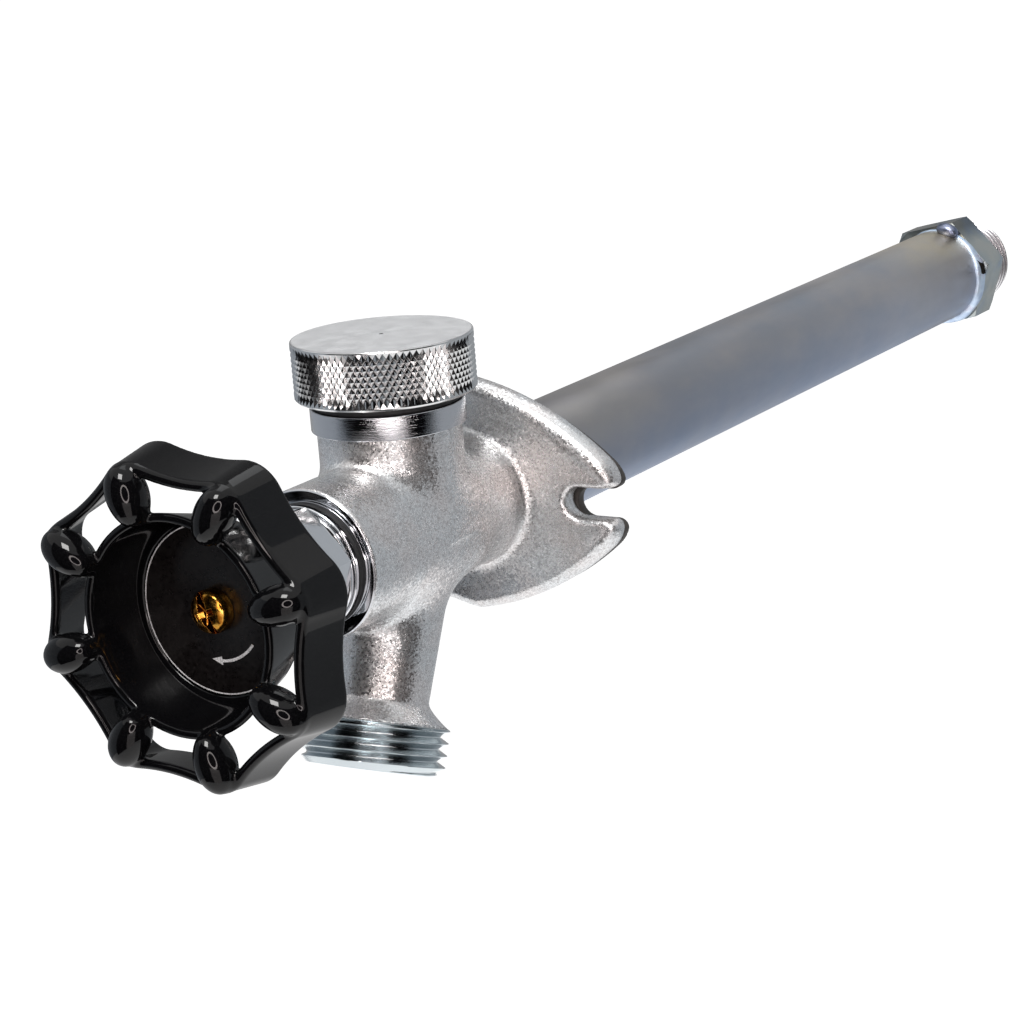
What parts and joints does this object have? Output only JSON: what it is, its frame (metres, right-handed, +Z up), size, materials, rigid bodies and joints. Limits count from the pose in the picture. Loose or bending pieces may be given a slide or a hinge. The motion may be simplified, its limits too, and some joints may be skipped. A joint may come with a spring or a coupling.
{
  "type": "frost free sillcock",
  "caption": "Long-stem outdoor wall tap with a scalloped handwheel, capped vacuum breaker, angled hose outlet, slotted wall flange and hexagonal pipe inlet.",
  "frame": {"origin": "centre of the wall face, where the tube's axis leaves the wall pad", "axes": "+Y along the tube into the wall, +Z up towards the vacuum breaker, +X to the right seen from the front"},
  "size_m": [0.0634, 0.329, 0.081],
  "materials": {
    "plated_casting": "rough cast body under a satin nickel plate, with turned faces",
    "pad_rubber": "matte moulded rubber",
    "tube_metal": "drawn tube under a thin dull plate with faint stains",
    "inlet_metal": "machined hexagon and stub under a dull plate, blued by the brazing heat",
    "braze_metal": "smooth run metal, pale blue",
    "chrome_plate": "bright chrome plate",
    "cap_chrome": "chrome plate over a diamond knurl, satin top",
    "black_rubber": "black rubber",
    "yellow_brass": "turned brass",
    "screw_brass": "bright brass, amber coating",
    "pin_steel": "spring steel",
    "white_plastic": "natural moulded plastic",
    "black_enamel": "thick gloss black enamel over a die casting",
    "plate_enamel": "satin black printed aluminium with a thin bare ring"
  },
  "bodies": {
    "valve": {"body_casting": "plated_casting", "wall_pad": "pad_rubber", "tube": "tube_metal", "inlet_fitting": "inlet_metal", "braze_bead": "braze_metal", "bonnet": "chrome_plate", "bonnet_gasket": "black_rubber", "packing": "black_rubber", "gland_ring": "yellow_brass", "packing_nut": "chrome_plate", "breaker_seat": "yellow_brass", "float_guide": "yellow_brass", "breaker_cap": "cap_chrome", "cap_seal_ring": "black_rubber"},
    "seat_slider": {"washer_holder": "yellow_brass", "seat_washer": "black_rubber", "washer_screw": "yellow_brass"},
    "stem": {"stem_head": "yellow_brass", "stem_rod": "yellow_brass", "rod_pin": "pin_steel", "rod_guides": "white_plastic", "swivel_clip": "pin_steel", "handwheel": "black_enamel", "index_plate": "plate_enamel", "handle_screw": "screw_brass"},
    "float": {"breaker_float": "white_plastic", "float_seal": "black_rubber"}
  },
  "joints": [
    {"name": "stem_travel", "type": "slide", "parent": "valve", "child": "seat_slider", "axis": [0, -1, 0], "range_m": [0, 0.006]},
    {"name": "handle_turn", "type": "hinge", "parent": "seat_slider", "child": "stem", "pos_m": [0, 0, 0], "axis": [0, -1, 0], "range_deg": [0, 1080]},
    {"name": "float_lift", "type": "slide", "parent": "valve", "child": "float", "axis": [0, 0, 1], "range_m": [0, 0.0024]}
  ],
  "couplings": [
    {"joint": "stem_travel", "follows": "handle_turn", "m_per_rad": 0.00031831}
  ]
}
